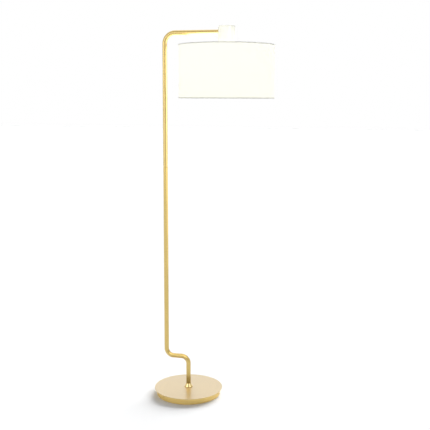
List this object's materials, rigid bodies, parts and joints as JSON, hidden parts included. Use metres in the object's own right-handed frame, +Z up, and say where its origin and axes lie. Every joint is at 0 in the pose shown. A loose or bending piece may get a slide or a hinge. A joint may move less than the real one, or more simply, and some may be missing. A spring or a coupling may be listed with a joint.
{
  "type": "floor lamp",
  "caption": "Bent-tube floor lamp: a cranked brass stem on a round weighted base, with a side arm that holds a cup and a lit drum shade.",
  "frame": {"origin": "middle of the base's underside, on the floor", "axes": "+Z up, +X from the post towards the shade along the arm, +Y towards the cord inlet at the back of the base"},
  "size_m": [0.516, 0.4, 1.6],
  "materials": {
    "brushed_brass": "satin, finely brushed",
    "satin_brass": "satin, brushed along the tube",
    "polished_brass": "polished",
    "contact_brass": "plain sheet",
    "zinc_steel": "zinc plated",
    "cast_iron": "as cast, painted black",
    "black_felt": "felt",
    "black_plastic": "matt",
    "core_insulation": "flexible insulation",
    "ivory_lacquer": "gloss",
    "white_plastic": "satin",
    "porcelain": "glazed white",
    "bulb_metal": "bright",
    "bulb_board": "white coated",
    "opal_diffuser": "opal, lit",
    "ivory_fabric": "plain weave, lit from inside",
    "white_liner": "matt laminate, lit from inside",
    "ivory_tape": "rolled self-fabric tape",
    "white_wire": "white powder coat"
  },
  "bodies": {
    "stand": {"base_pad": "black_felt", "base_ballast": "cast_iron", "base_skirt": "brushed_brass", "base_plate": "brushed_brass", "cord_inlet": "black_plastic", "foot_washer": "zinc_steel", "foot_lock_washer": "zinc_steel", "foot_nut": "zinc_steel", "foot_nipple": "zinc_steel", "foot_bush": "zinc_steel", "ferrule": "polished_brass", "stem_lower": "satin_brass", "joiner_bush_lower": "zinc_steel", "joiner_nipple": "zinc_steel", "joiner_bush_upper": "zinc_steel", "stem_upper": "satin_brass", "arm_bush": "zinc_steel", "arm_nipple": "zinc_steel", "head_block": "zinc_steel", "head_cup": "ivory_lacquer", "holder_nipple": "zinc_steel", "holder_nut": "zinc_steel", "holder_cap": "white_plastic", "holder_insert": "porcelain", "centre_contact": "contact_brass", "side_contact": "contact_brass", "terminal_screw_live": "zinc_steel", "terminal_screw_neutral": "zinc_steel", "core_live": "core_insulation", "core_neutral": "core_insulation", "holder_screw_shell": "contact_brass", "holder_skirt": "white_plastic", "shade_clamp_ring": "white_plastic", "inner_flex": "black_plastic"},
    "shade": {"shade_cover": "ivory_fabric", "shade_liner": "white_liner", "shade_top_ring": "white_wire", "shade_bottom_ring": "white_wire", "shade_trim_top": "ivory_tape", "shade_trim_bottom": "ivory_tape", "shade_spider": "white_wire"},
    "bulb_tip": {"bulb_contact": "bulb_metal", "bulb_insulator": "black_plastic"},
    "bulb": {"bulb_cap": "bulb_metal", "bulb_housing": "white_plastic", "bulb_globe": "opal_diffuser", "bulb_led_board": "bulb_board"}
  },
  "joints": [
    {"name": "shade_turn", "type": "hinge", "parent": "stand", "child": "shade", "pos_m": [0.166, 0, 1.494], "axis": [0, 0, 1], "continuous": true},
    {"name": "bulb_travel", "type": "slide", "parent": "stand", "child": "bulb_tip", "axis": [0, 0, -1], "range_m": [0, 0.01834]},
    {"name": "bulb_screw", "type": "hinge", "parent": "bulb_tip", "child": "bulb", "pos_m": [0.166, 0, 1.49], "axis": [0, 0, -1], "range_deg": [0, 1800]}
  ],
  "couplings": [
    {"joint": "bulb_travel", "follows": "bulb_screw", "m_per_rad": 0.00057751}
  ]
}
